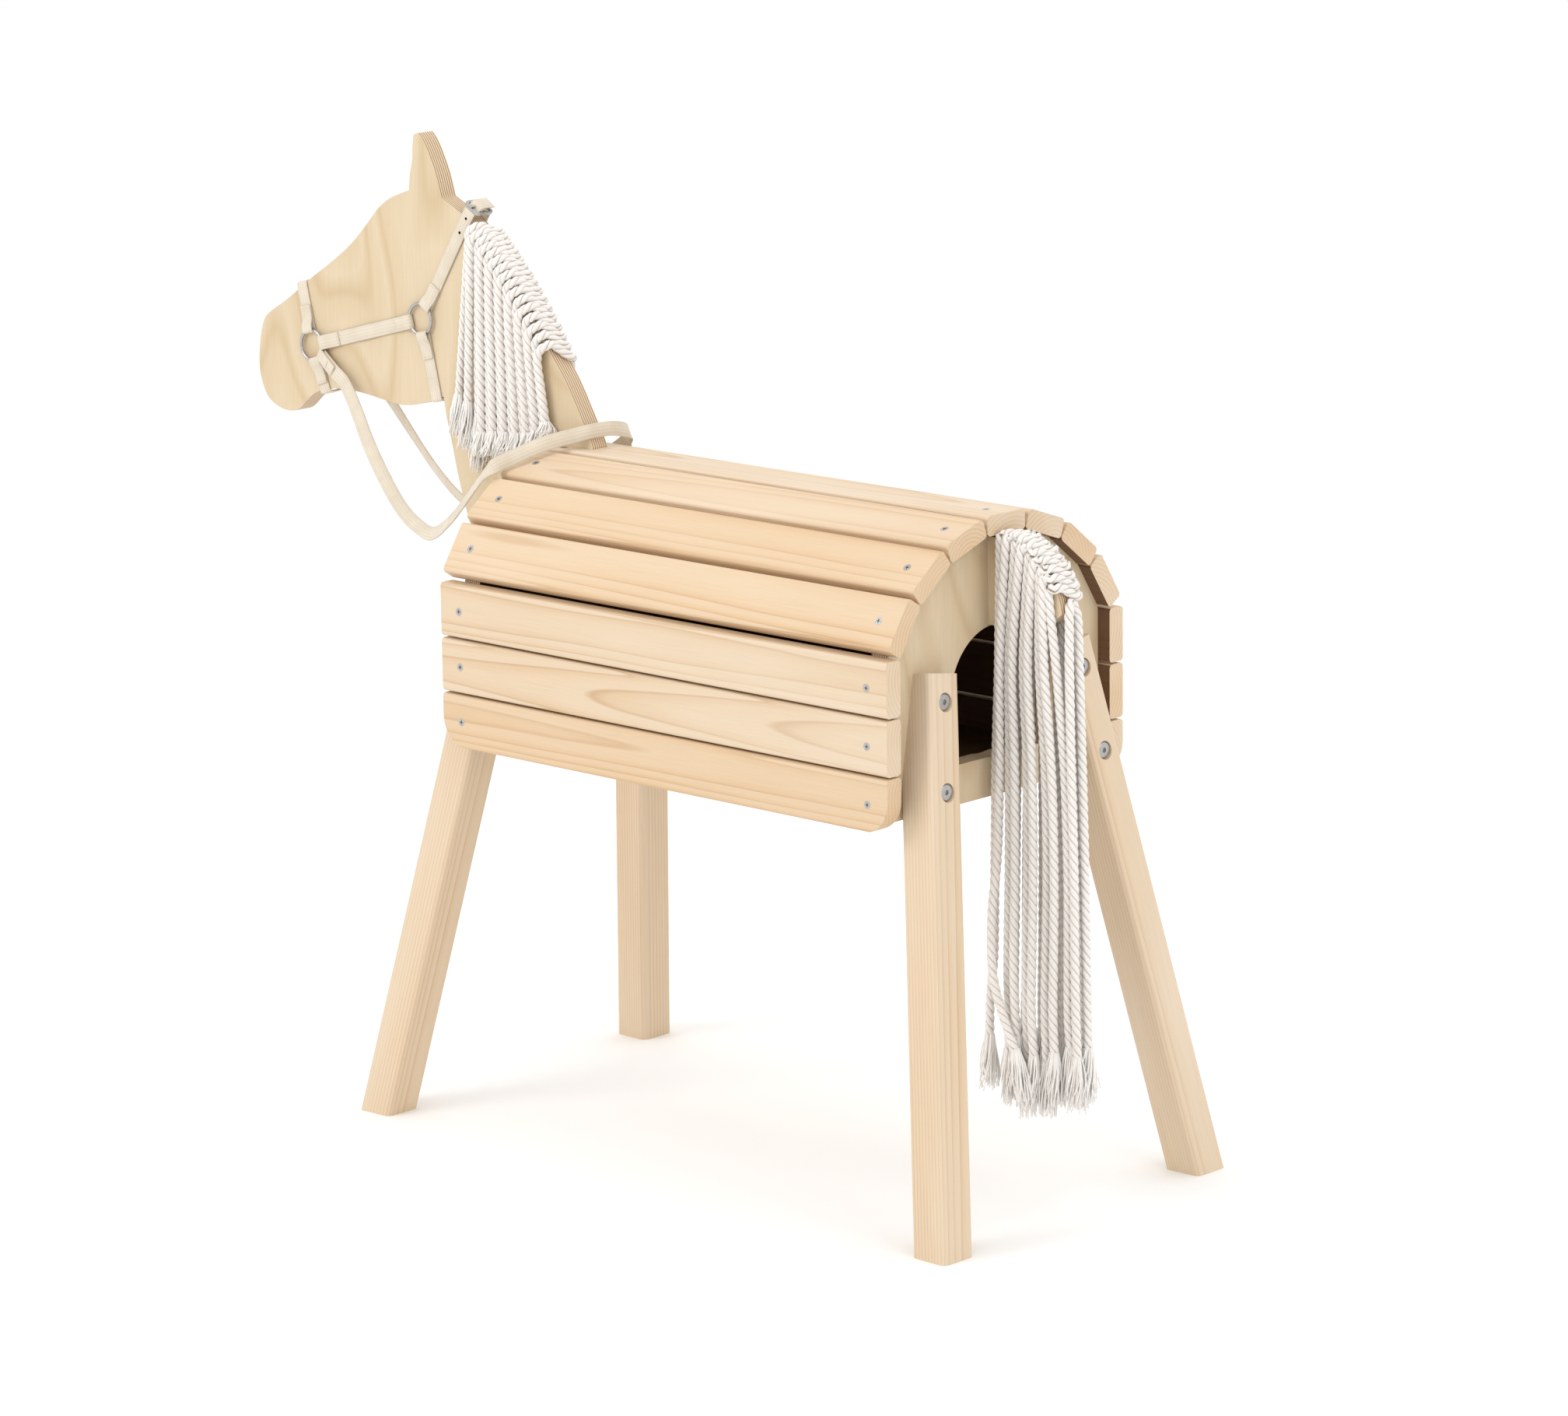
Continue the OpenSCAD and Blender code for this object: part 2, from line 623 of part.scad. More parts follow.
// The prong turns on the frame's middle bar and rests on the frame's left side
module buckle_prong() {
    color(steel) at_buckle() difference() {
        union() {
            translate([buckle_bar_x, 0, -1.6]) cylinder(h = 3.2, r = 2.75);
            translate([buckle_bar_x + 1, -1, 0]) rotate([0, 0, 10]) rotate([90, 0, 0]) cylinder(h = 11, r = 1.1);
        }
        translate([buckle_bar_x, 0, -3]) cylinder(h = 6, r = buckle_bar_r + 0.05);
    }
}

// ---- ropes and rein ----

module mane_ropes(pair) {
    color(cotton) on_barrel() for (i = [2 * pair, 2 * pair + 1]) rope(smooth(mane_route(i), step));
}
module tail_rope(i) { color(cotton) on_barrel() rope(smooth(tail_route(i), step)); }
module rein() { color(canvas) on_barrel() band(smooth(rein_route, 20)); }

// ---- the nodes ----

slat(0, 1);  // slat_top
for (k = [1 : 6]) {
    slat(k, -1);
    slat(k, 1);
}
front_panel();
rear_panel();
head_and_neck();
tail_board();
leg(-1, -1);  // leg_front_left
leg(-1, 1);  // leg_front_right
leg(1, -1);  // leg_rear_left
leg(1, 1);  // leg_rear_right
bottom_board();
leg_bolts();
leg_nuts();
slat_screws();
noseband();
chin_strap();
cheek_strap(-1);  // cheek_strap_left
cheek_strap(1);  // cheek_strap_right
throat_strap();
crown_strap_left();
crown_strap_right();
buckle_frame();
buckle_prong();
ring(front_ring, -1);  // ring_front_left
ring(front_ring, 1);  // ring_front_right
ring(rear_ring, -1);  // ring_rear_left
ring(rear_ring, 1);  // ring_rear_right
rein();
for (i = [0 : MANE / 2 - 1]) mane_ropes(i);
for (i = [0 : TAIL - 1]) tail_rope(i);
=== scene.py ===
"""Looks of the slatted play horse: oiled pine, birch plywood, cotton webbing and three-strand rope."""
import math
import random

import bmesh
import bpy
from mathutils import Euler, Matrix, Vector


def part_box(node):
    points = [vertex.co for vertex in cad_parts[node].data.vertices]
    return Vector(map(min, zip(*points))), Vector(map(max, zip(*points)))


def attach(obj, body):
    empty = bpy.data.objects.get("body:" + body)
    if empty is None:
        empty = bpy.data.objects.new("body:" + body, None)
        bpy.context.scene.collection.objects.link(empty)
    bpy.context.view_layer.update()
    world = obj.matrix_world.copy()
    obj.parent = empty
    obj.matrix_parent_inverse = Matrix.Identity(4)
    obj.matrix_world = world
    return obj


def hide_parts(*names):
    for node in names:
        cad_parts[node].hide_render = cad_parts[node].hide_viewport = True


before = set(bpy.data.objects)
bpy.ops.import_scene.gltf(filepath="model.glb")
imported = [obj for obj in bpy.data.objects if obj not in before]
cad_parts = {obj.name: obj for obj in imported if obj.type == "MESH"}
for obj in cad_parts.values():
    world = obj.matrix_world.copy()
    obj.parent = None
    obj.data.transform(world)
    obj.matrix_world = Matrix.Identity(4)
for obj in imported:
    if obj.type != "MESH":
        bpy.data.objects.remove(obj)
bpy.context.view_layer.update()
MM = 0.001
BARREL_X = 168.8
HORSE = "horse"


# ---- camera ----

def aim_camera():
    """A long lens from behind the horse and to its left, looking down a little."""
    azimuth = math.radians(43.064)
    elevation = math.radians(12.687)
    roll = math.radians(-0.733)
    back = Vector((
        math.sin(azimuth) * math.cos(elevation),
        -math.cos(azimuth) * math.cos(elevation),
        math.sin(elevation),
    ))
    level = Vector((math.cos(azimuth), math.sin(azimuth), 0))
    upright = back.cross(level)
    right = math.cos(roll) * level + math.sin(roll) * upright
    up = back.cross(right)
    data = bpy.data.cameras.new("camera")
    data.lens = 139.87
    data.sensor_width = 36
    data.clip_end = 50
    camera = bpy.data.objects.new("camera", data)
    place = Matrix((right, up, back)).transposed().to_4x4()
    place.translation = Vector((4032.4 + BARREL_X, -4306.8, 1772.4)) * MM
    camera.matrix_world = place
    bpy.context.scene.collection.objects.link(camera)
    bpy.context.scene.camera = camera


aim_camera()


# ---- curves and swept pieces ----

def between(a, b, c, d, t):
    """A point between b and c on the smooth curve that also passes a and d."""
    return (b + (c - a) * (t / 2) + (2 * a - 5 * b + 4 * c - d) * (t * t / 2)
            + (3 * b - a - 3 * c + d) * (t ** 3 / 2))


def smooth(points, piece):
    """A smooth curve through the points, cut finely."""
    points = [Vector(p) for p in points]
    last = len(points) - 1
    curve = []
    for i in range(last):
        steps = max(1, math.ceil((points[i + 1] - points[i]).length / piece))
        for k in range(steps):
            curve.append(between(points[max(i - 1, 0)], points[i], points[i + 1],
                                 points[min(i + 2, last)], k / steps))
    return curve + [points[last]]


def spaced(curve, step):
    """The same curve with its points evenly spaced."""
    lengths = [0.0]
    for a, b in zip(curve, curve[1:]):
        lengths.append(lengths[-1] + (b - a).length)
    count = max(2, round(lengths[-1] / step))
    points = []
    i = 0
    for k in range(count + 1):
        s = lengths[-1] * k / count
        while i < len(curve) - 2 and lengths[i + 1] < s:
            i += 1
        gap = max(lengths[i + 1] - lengths[i], 1e-9)
        points.append(curve[i].lerp(curve[i + 1], min(1, (s - lengths[i]) / gap)))
    return points


def to_metres(points):
    return [Vector((p[0] + BARREL_X, p[1], p[2])) * MM for p in points]


def direction(points, i):
    return (points[min(i + 1, len(points) - 1)] - points[max(i - 1, 0)]).normalized()


def round_section(centre, radius, u, v, sides):
    turns = [k * math.tau / sides for k in range(sides)]
    return [centre + radius * (math.cos(turn) * u + math.sin(turn) * v) for turn in turns]


def new_object(mesh, name, material):
    data = bpy.data.meshes.new(name)
    mesh.to_mesh(data)
    mesh.free()
    data.materials.append(material)
    made = bpy.data.objects.new(name, data)
    bpy.context.scene.collection.objects.link(made)
    return made


class Sweep:
    """Collects tubes, each a run of rings with the same number of corners, into one mesh with a UV map
    in metres: u along the tube, v round it."""

    def __init__(self):
        self.mesh = bmesh.new()
        self.uv = self.mesh.loops.layers.uv.new("along")

    def tube(self, rings, step, girth):
        sides = len(rings[0])
        rows = [[self.mesh.verts.new(p) for p in ring] for ring in rings]
        for i in range(len(rows) - 1):
            for k in range(sides):
                m = (k + 1) % sides
                face = self.mesh.faces.new((rows[i][k], rows[i][m], rows[i + 1][m], rows[i + 1][k]))
                face.smooth = True
                corners = ((i, k), (i, k + 1), (i + 1, k + 1), (i + 1, k))
                for loop, (a, b) in zip(face.loops, corners):
                    loop[self.uv].uv = (a * step, b * girth / sides)
        self.mesh.faces.new(list(reversed(rows[0])))
        self.mesh.faces.new(rows[-1])

    def finish(self, name, material, node=None):
        bmesh.ops.recalc_face_normals(self.mesh, faces=self.mesh.faces)
        piece = new_object(self.mesh, name, material)
        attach(piece, HORSE)
        if node:
            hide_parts(node)
        return piece


# ---- materials ----

class Finish:
    """A node material with short calls for its nodes."""

    def __init__(self, name):
        self.material = bpy.data.materials.new(name)
        self.material.use_nodes = True
        self.nodes = self.material.node_tree.nodes
        self.links = self.material.node_tree.links
        self.shader = self.nodes["Principled BSDF"]

    def add(self, kind, **values):
        node = self.nodes.new(kind)
        for key, value in values.items():
            if hasattr(node, key):
                setattr(node, key, value)
            else:
                node.inputs[key.replace("_", " ")].default_value = value
        return node

    def link(self, source, target):
        self.links.new(source, target)

    def remap(self, vector, scale=(1, 1, 1), turn=(0, 0, 0), shift=(0, 0, 0)):
        mapping = self.add("ShaderNodeMapping")
        mapping.inputs["Location"].default_value = shift
        mapping.inputs["Rotation"].default_value = turn
        mapping.inputs["Scale"].default_value = scale
        self.link(vector, mapping.inputs["Vector"])
        return mapping.outputs["Vector"]

    def coordinates(self, kind="Object", scale=(1, 1, 1), turn=(0, 0, 0), shift=(0, 0, 0)):
        return self.remap(self.add("ShaderNodeTexCoord").outputs[kind], scale, turn, shift)

    def board_frame(self, node, turn):
        """Coordinates whose origin is the middle of a CAD piece and whose X runs along its grain."""
        low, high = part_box(node)
        middle = (Vector(low) + Vector(high)) / 2
        return self.coordinates(turn=turn, shift=-(turn.to_matrix() @ middle))

    def noise(self, vector, scale, detail=3, roughness=0.5):
        node = self.add("ShaderNodeTexNoise", Scale=scale, Detail=detail, Roughness=roughness)
        self.link(vector, node.inputs["Vector"])
        return node.outputs["Fac"]

    def ramp(self, value, stops):
        node = self.add("ShaderNodeValToRGB")
        elements = node.color_ramp.elements
        while len(elements) < len(stops):
            elements.new(0.5)
        for element, (place, colour) in zip(elements, stops):
            element.position = place
            element.color = (*colour, 1)
        self.link(value, node.inputs["Fac"])
        return node.outputs["Color"]

    def mix(self, a, b, amount, blend="MIX"):
        node = self.add("ShaderNodeMix", data_type="RGBA", blend_type=blend)
        for value, socket in ((amount, 0), (a, 6), (b, 7)):
            if isinstance(value, (int, float)):
                node.inputs[socket].default_value = value
            elif isinstance(value, tuple):
                node.inputs[socket].default_value = (*value, 1)
            else:
                self.link(value, node.inputs[socket])
        return node.outputs[2]

    def bands(self, vector, apart, **values):
        """Waves whose lines lie that many metres apart."""
        node = self.add("ShaderNodeTexWave", Scale=math.tau / (20 * apart), **values)
        self.link(vector, node.inputs["Vector"])
        return node

    def roughness_from(self, value, low, high):
        spread = self.add("ShaderNodeMapRange")
        spread.inputs["To Min"].default_value = low
        spread.inputs["To Max"].default_value = high
        self.link(value, spread.inputs["Value"])
        self.link(spread.outputs[0], self.shader.inputs["Roughness"])

    def maths(self, a, b, operation="ADD"):
        node = self.add("ShaderNodeMath", operation=operation)
        for value, socket in ((a, 0), (b, 1)):
            if isinstance(value, (int, float)):
                node.inputs[socket].default_value = value
            else:
                self.link(value, node.inputs[socket])
        return node.outputs[0]

    def shaded(self, colour, inside):
        """The same colour, with painted shade on the faces that look into the closed barrel."""
        if inside is None:
            return colour
        source = self.add("ShaderNodeTexCoord")
        toward = self.add("ShaderNodeVectorMath", operation="DOT_PRODUCT")
        toward.inputs[1].default_value = inside
        self.link(source.outputs["Normal"], toward.inputs[0])
        hidden = self.maths(toward.outputs["Value"], 0.6, "GREATER_THAN")
        return self.mix(colour, self.mix(colour, PAINTED_INSIDE_SHADE, 1.0, "MULTIPLY"), hidden)

    def colour(self, output):
        self.link(output, self.shader.inputs["Base Color"])

    def bump(self, height, strength, distance):
        node = self.add("ShaderNodeBump", Strength=strength, Distance=distance)
        self.link(height, node.inputs["Height"])
        self.link(node.outputs["Normal"], self.shader.inputs["Normal"])


PINE_PALE = (0.71, 0.575, 0.43)
PINE_MIDDLE = (0.70, 0.55, 0.39)
PINE_WARM = (0.63, 0.44, 0.26)
PINE_LINE = (0.46, 0.26, 0.11)
BIRCH_PALE = (0.66, 0.54, 0.375)
BIRCH_WARM = (0.53, 0.385, 0.215)
BIRCH_DEEP = (0.61, 0.475, 0.305)
PLY_LONG_GRAIN = (0.68, 0.54, 0.37)
PLY_END_GRAIN = (0.36, 0.21, 0.11)
GLUE_LINE = (0.22, 0.12, 0.06)
# Painted shade for the faces that look into the closed barrel
PAINTED_INSIDE_SHADE = (0.22, 0.15, 0.11)
# Some boards are warmer than the others
WARM_BOARDS = {
    "slat_left_1": (0.99, 0.95, 0.90),
    "slat_left_2": (0.98, 0.91, 0.82),
    "slat_left_3": (0.99, 0.94, 0.87),
    "slat_left_6": (0.98, 0.92, 0.84),
    "slat_right_2": (0.97, 0.90, 0.82),
    "slat_right_5": (0.98, 0.93, 0.85),
}
# Thickness of a pale and a dark ply together, and how far the plies are moved to sit evenly in a board
PLY_PAIR = 3.0 * MM
PLY_SHIFT = {"X": 4.3 * MM, "Y": 0, "Z": 1.0 * MM}
# Distances between a tape's threads along it and across it, and between a rope's yarns
WEFT_GAP = 1.1 * MM
WARP_GAP = 0.9 * MM
YARN_GAP = 1.2 * MM
YARN_SLANT = 0.5
STRAND_R = 2.7 * MM


def pine(node, turn, seed, inside=None, ring=0.0042, depth=0.034, stretch=0.16, wander=7.0, tilt=7.0):
    """Sawn pine: growth rings round a pith that lies aslant below the board, drawn out along its length."""
    dice = random.Random(seed)
    f = Finish("pine_" + node)
    board = f.board_frame(node, turn)
    log = f.remap(
        board, (stretch, 1, 1),
        (0, math.radians(dice.uniform(-tilt, tilt)), math.radians(dice.uniform(-tilt, tilt))),
        (dice.uniform(-2, 2), dice.uniform(-0.024, 0.024), depth * dice.uniform(0.7, 1.5)),
    )
    wave = f.bands(log, ring, wave_type="RINGS", rings_direction="X", wave_profile="SAW",
                   Distortion=wander, Detail=2.0)
    wave.inputs["Detail Scale"].default_value = 0.12
    wave.inputs["Detail Roughness"].default_value = 0.5
    rings = f.ramp(wave.outputs["Fac"], [
        (0.0, PINE_PALE), (0.45, PINE_MIDDLE), (0.82, PINE_WARM), (0.93, PINE_LINE), (1.0, PINE_PALE),
    ])
    offset = dice.uniform(-9, 9)
    patches = f.noise(f.remap(board, (2.2, 14, 14), shift=(offset, 0, 0)), 1.0, 2)
    tone = f.ramp(patches, [(0.3, (0.72, 0.60, 0.46)), (0.72, (0.65, 0.49, 0.32))])
    strength = f.maths(f.maths(patches, 0.9, "MULTIPLY"), 0.06, "SUBTRACT")
    body = f.mix(tone, rings, strength)
    streaks = f.noise(f.remap(board, (14, 900, 900), shift=(offset, 0, 0)), 1.0, 4, 0.65)
    fibre = f.ramp(streaks, [(0.3, (0.94, 0.925, 0.905)), (0.62, (1, 1, 1))])
    tint = f.mix(fibre, WARM_BOARDS.get(node, (1, 1, 1)), 1.0, "MULTIPLY")
    f.colour(f.shaded(f.mix(body, tint, 1.0, "MULTIPLY"), inside))
    f.bump(f.maths(streaks, f.maths(wave.outputs["Fac"], 0.5, "MULTIPLY")), 0.15, 0.0005)
    f.roughness_from(streaks, 0.42, 0.6)
    f.shader.inputs["Specular IOR Level"].default_value = 0.38
    return f.material


def plywood(name, layers_along, seed, inside=None):
    """Birch plywood: rotary-cut faces, and dark and pale plies where an edge is cut."""
    dice = random.Random(seed)
    f = Finish(name)
    across = "XYZ".index(layers_along)
    squeeze = [4.0, 4.0, 1.3]
    squeeze[across] = 0.2
    shift = (dice.uniform(-2, 2), dice.uniform(-2, 2), dice.uniform(-1, 1))
    face = f.coordinates(scale=tuple(squeeze), shift=shift)
    figure = f.noise(face, 1.6, 1, 0.4)
    contour = f.maths(f.maths(figure, 12, "MULTIPLY"), 1, "FRACT")
    lines = f.ramp(contour, [(0.0, BIRCH_WARM), (0.3, BIRCH_PALE), (0.85, BIRCH_DEEP), (1.0, BIRCH_WARM)])
    cloudy = f.ramp(f.noise(face, 3.0, 3), [(0.3, (0.68, 0.56, 0.39)), (0.75, BIRCH_DEEP)])
    grain = f.noise(f.coordinates(scale=(700, 700, 22), shift=shift), 1.0, 3, 0.6)
    shade = f.ramp(grain, [(0.3, (0.95, 0.94, 0.92)), (0.6, (1, 1, 1))])
    face_colour = f.mix(f.mix(lines, cloudy, 0.4), shade, 1.0, "MULTIPLY")
    place = f.add("ShaderNodeSeparateXYZ")
    f.link(f.coordinates(), place.inputs[0])
    depth = f.maths(place.outputs[layers_along], PLY_SHIFT[layers_along])
    ply_of = f.maths(f.maths(depth, PLY_PAIR, "DIVIDE"), 0.5)
    within = f.maths(ply_of, 1, "FLOORED_MODULO")
    wobble = f.maths(f.noise(f.coordinates(scale=(60, 60, 60)), 1.0, 2), 0.12, "MULTIPLY")
    plies = f.ramp(f.maths(within, wobble), [
        (0.34, PLY_LONG_GRAIN), (0.42, GLUE_LINE), (0.50, PLY_END_GRAIN),
        (0.64, PLY_END_GRAIN), (0.72, GLUE_LINE), (0.78, PLY_LONG_GRAIN),
    ])
    facing = f.add("ShaderNodeSeparateXYZ")
    f.link(f.add("ShaderNodeTexCoord").outputs["Normal"], facing.inputs[0])
    flat = f.maths(f.maths(facing.outputs[across], 0, "ABSOLUTE"), 0.6, "GREATER_THAN")
    f.colour(f.shaded(f.mix(plies, face_colour, flat), inside))
    f.bump(f.maths(grain, within), 0.12, 0.0004)
    f.shader.inputs["Roughness"].default_value = 0.5
    f.shader.inputs["Specular IOR Level"].default_value = 0.35
    return f.material


def bright_steel(name, roughness=0.28):
    f = Finish(name)
    brushed = f.noise(f.coordinates(), 900, 3, 0.6)
    f.colour(f.ramp(brushed, [(0.3, (0.36, 0.355, 0.345)), (0.7, (0.54, 0.535, 0.525))]))
    f.roughness_from(brushed, roughness - 0.08, roughness + 0.12)
    f.bump(brushed, 0.1, 0.0001)
    f.shader.inputs["Metallic"].default_value = 1.0
    return f.material


def webbing(name):
    """Tape woven with fine ribs along it and across it, a little worn."""
    f = Finish(name)
    along = f.coordinates("UV")
    ribs = f.bands(along, WEFT_GAP, wave_type="BANDS", bands_direction="X", Distortion=0.6, Detail=1)
    ends = f.bands(along, WARP_GAP, wave_type="BANDS", bands_direction="Y", Distortion=0.6, Detail=1)
    weave = f.maths(ribs.outputs["Fac"], ends.outputs["Fac"], "MULTIPLY")
    worn = f.noise(f.coordinates(), 60, 3)
    base = f.ramp(worn, [(0.3, (0.72, 0.635, 0.515)), (0.7, (0.79, 0.715, 0.60))])
    f.colour(f.mix(base, f.ramp(weave, [(0.0, (0.84, 0.82, 0.78)), (0.5, (1, 1, 1))]), 1.0, "MULTIPLY"))
    f.bump(weave, 0.6, 0.0004)
    f.shader.inputs["Roughness"].default_value = 0.9
    f.shader.inputs["Specular IOR Level"].default_value = 0.15
    f.shader.inputs["Sheen Weight"].default_value = 0.25
    f.shader.inputs["Sheen Roughness"].default_value = 0.5
    return f.material


def cotton_yarn(name, laid=True):
    """Soft cotton: fine yarns that run slantwise along each strand, with painted shade where two strands
    meet.
    """
    f = Finish(name)
    fluff = f.noise(f.coordinates(), 700, 4, 0.65)
    base = f.ramp(fluff, [(0.3, (0.83, 0.795, 0.75)), (0.65, (0.92, 0.895, 0.86))])
    height = fluff
    if laid:
        yarns = f.bands(f.coordinates("UV", turn=(0, 0, YARN_SLANT)), YARN_GAP,
                        wave_type="BANDS", bands_direction="Y", Distortion=1.5, Detail=2)
        base = f.mix(base, f.ramp(yarns.outputs["Fac"], [(0.0, (0.88, 0.86, 0.84)), (0.45, (1, 1, 1))]),
                     1.0, "MULTIPLY")
        place = f.add("ShaderNodeSeparateXYZ")
        f.link(f.coordinates("UV"), place.inputs[0])
        around = f.maths(place.outputs["Y"], math.tau * STRAND_R, "DIVIDE")
        inward = f.maths(f.maths(around, 0.5, "SUBTRACT"), 0, "ABSOLUTE")
        # Painted shade on the side of each strand that faces into the rope, where two strands meet
        painted_strand_crease_shade = f.ramp(inward, [
            (0.23, (0.30, 0.21, 0.15)), (0.27, (0.62, 0.53, 0.46)), (0.33, (1, 1, 1)),
        ])
        base = f.mix(base, painted_strand_crease_shade, 1.0, "MULTIPLY")
        height = f.maths(fluff, yarns.outputs["Fac"])
    f.colour(base)
    f.bump(height, 0.5, 0.0005)
    f.shader.inputs["Roughness"].default_value = 0.95
    f.shader.inputs["Specular IOR Level"].default_value = 0.1
    f.shader.inputs["Sheen Weight"].default_value = 0.3
    f.shader.inputs["Sheen Roughness"].default_value = 0.6
    return f.material


def plain_finish(name, colour, roughness):
    f = Finish(name)
    grain = f.noise(f.coordinates(), 300, 3)
    f.colour(f.ramp(grain, [(0.3, tuple(c * 0.9 for c in colour)), (0.7, colour)]))
    f.shader.inputs["Roughness"].default_value = roughness
    return f.material


ROPE = cotton_yarn("rope_cotton")
FRAY = cotton_yarn("frayed_cotton", laid=False)
WEBBING = webbing("cotton_webbing_weave")
THREAD = plain_finish("sewing_thread", (0.74, 0.62, 0.46), 0.8)
# Painted shade: the dark brown seen down a punched hole, laid on a disc
HOLE_PAINTED_SHADE = plain_finish("punched_hole", (0.16, 0.10, 0.06), 0.9)
STEEL = bright_steel("bright_steel")
SCREW_STEEL = bright_steel("screw_steel", 0.34)


# ---- ropes ----

ROPE_D = 9.0
PLY = 21.0
GAP = 0.4
LIFT = ROPE_D / 2 + GAP
OUT = PLY / 2 + ROPE_D / 2 + GAP
STRAND_MID = 2.05 * MM
LAY_LENGTH = 27 * MM
RING_STEP = 2.2 * MM
STRAND_SIDES = 10
# Way out of the neck's crest, and half the width of a rope's top
CREST_N = (0.755, 0.656)
TOP_HALF = 8
# How far above the edge a rope rounds it, how far below the edge it lies flat, and its spare room there
ROUNDS_AT = 1.9
FLAT_AT = 5
ROOM = (0.2, 0.6)

# Lower ends of the mane ropes as (x, z), left side and right side, and lengths of their left tufts
MANE_LEFT = [
    (-430, 713), (-413, 707), (-402, 692), (-394, 678), (-386, 676), (-377, 680), (-369, 672), (-361, 681),
    (-353, 673), (-344, 682), (-336, 675), (-328, 684), (-321, 678), (-314, 688), (-307, 690), (-300, 698),
]
MANE_RIGHT = [
    (-424, 708), (-412, 716), (-403, 700), (-395, 706), (-387, 690), (-379, 698), (-371, 688), (-362, 694),
    (-354, 684), (-345, 690), (-337, 680), (-329, 688), (-322, 686), (-315, 692), (-308, 688), (-301, 700),
]
MANE_FRAY = [42, 48, 55, 24, 20, 22, 18, 22, 18, 22, 16, 18, 14, 14, 12, 12]
MANE_RIGHT_FRAY = 24
# How far a rope's two sides are shifted along the edge, and how far out every other rope hangs
MANE_SKEW = 0.045
MANE_LAYER = 4.2
# Strands of the tail as (x, z), from below the board to the lower end
TAIL_LEFT = [
    [(303, 540), (299, 440), (297, 340), (295, 250), (290, 200), (289, 162)],
    [(309, 540), (308, 440), (305, 350), (302, 290), (305, 235), (318, 195), (336, 158)],
    [(316, 540), (316, 440), (315, 340), (313, 250), (313, 200), (314, 150)],
    [(324.5, 540), (327, 440), (327, 340), (325, 250), (326, 200), (328, 168)],
    [(334, 540), (338, 440), (338, 340), (336, 250), (336, 200), (338, 142)],
    [(343.5, 540), (348, 440), (349, 340), (347, 250), (346, 200), (349, 152)],
    [(353, 540), (358, 440), (360, 340), (358, 250), (357, 200), (359, 146)],
    [(362.5, 540), (368, 440), (371, 340), (370, 250), (369, 200), (371, 158)],
    [(372, 540), (377, 440), (381, 340), (381, 250), (381, 200), (384, 164)],
    [(384, 540), (386, 440), (389, 340), (390, 250), (391, 200), (393, 156)],
]
TAIL_RIGHT = [
    [(303, 540), (299, 440), (297, 340), (295, 250), (294, 200), (292, 160)],
    [(310, 540), (308, 440), (306, 340), (305, 250), (304, 200), (303, 172)],
    [(317, 540), (317, 440), (316, 340), (315, 250), (314, 200), (313, 156)],
    [(326.5, 540), (327, 440), (327, 340), (326, 250), (325, 200), (325, 166)],
    [(336, 540), (338, 440), (338, 340), (338, 250), (338, 200), (338, 160)],
    [(345.5, 540), (348, 440), (349, 340), (350, 250), (350, 200), (351, 150)],
    [(355, 540), (359, 440), (361, 340), (362, 250), (362, 200), (363, 167)],
    [(364.5, 540), (369, 440), (372, 340), (374, 250), (375, 200), (376, 158)],
    [(374, 540), (379, 440), (383, 340), (386, 250), (387, 200), (388, 154)],
    [(384.5, 540), (388, 440), (391, 340), (393, 250), (394, 200), (395, 162)],
]
# Where the second rope's left strand swings out past its neighbours
TAIL_BULGE = [0, 0, 0, 5, 8.5, 9.8, 10]
TAIL_SKEW = 4
TAIL_LAYER = 5.5
# How far in each tail rope hangs below the board, and the part of it that is reached at the first point
TAIL_PULL = [0, 0, 0, 0, 0, 1, 3, 6, 9, 14]
FIRST_PULL = 0.35
# The last rope hangs in front of the board's end, as (x, y, z)
TAIL_END = [(382.6, 5.4, 590.5), (383.7, 6.4, 578)]
TAIL_FRAY = (53, 50)


def crest(t):
    """The neck's edge under the mane, from its upper end at 0 to its lower end at 1."""
    return (-400 + 100 * t, 885 - 115 * t + 32 * t * (1 - t))


def over_edge(edge, n, side, layer):
    """A rope's way over a board's edge and down to its face."""
    return [
        (edge[0] + n[0] * LIFT, side * TOP_HALF, edge[1] + n[1] * LIFT),
        (edge[0] + n[0] * ROUNDS_AT, side * (OUT + ROOM[0]), edge[1] + n[1] * ROUNDS_AT),
        (edge[0] - n[0] * FLAT_AT, side * (OUT + ROOM[1] + layer / 2), edge[1] - n[1] * FLAT_AT),
    ]


def mane_side(i, side, end):
    c = crest(i / (len(MANE_LEFT) - 1) + side * MANE_SKEW)
    layer = MANE_LAYER if i % 2 else 0
    y = OUT + layer
    a = (c[0] - 6, c[1] - 14)
    return over_edge(c, CREST_N, side, layer) + [
        (a[0], side * y, a[1]),
        (a[0] * 0.6 + end[0] * 0.4, side * y, a[1] * 0.6 + end[1] * 0.4),
        (a[0] * 0.2 + end[0] * 0.8, side * y, a[1] * 0.2 + end[1] * 0.8),
        (end[0], side * y, end[1]),
    ]


def mane_route(i):
    c = crest(i / (len(MANE_LEFT) - 1))
    over = (c[0] + CREST_N[0] * LIFT, 0, c[1] + CREST_N[1] * LIFT)
    return mane_side(i, -1, MANE_LEFT[i])[::-1] + [over] + mane_side(i, 1, MANE_RIGHT[i])


# The tail board's rounded edge: its middle and radii, and the degrees round it of the first rope and
# from one rope to the next
TAIL_MIDDLE = (300, 583)
TAIL_RADII = (78, 72)
TAIL_FIRST = 8.5
TAIL_STEP = 7.5


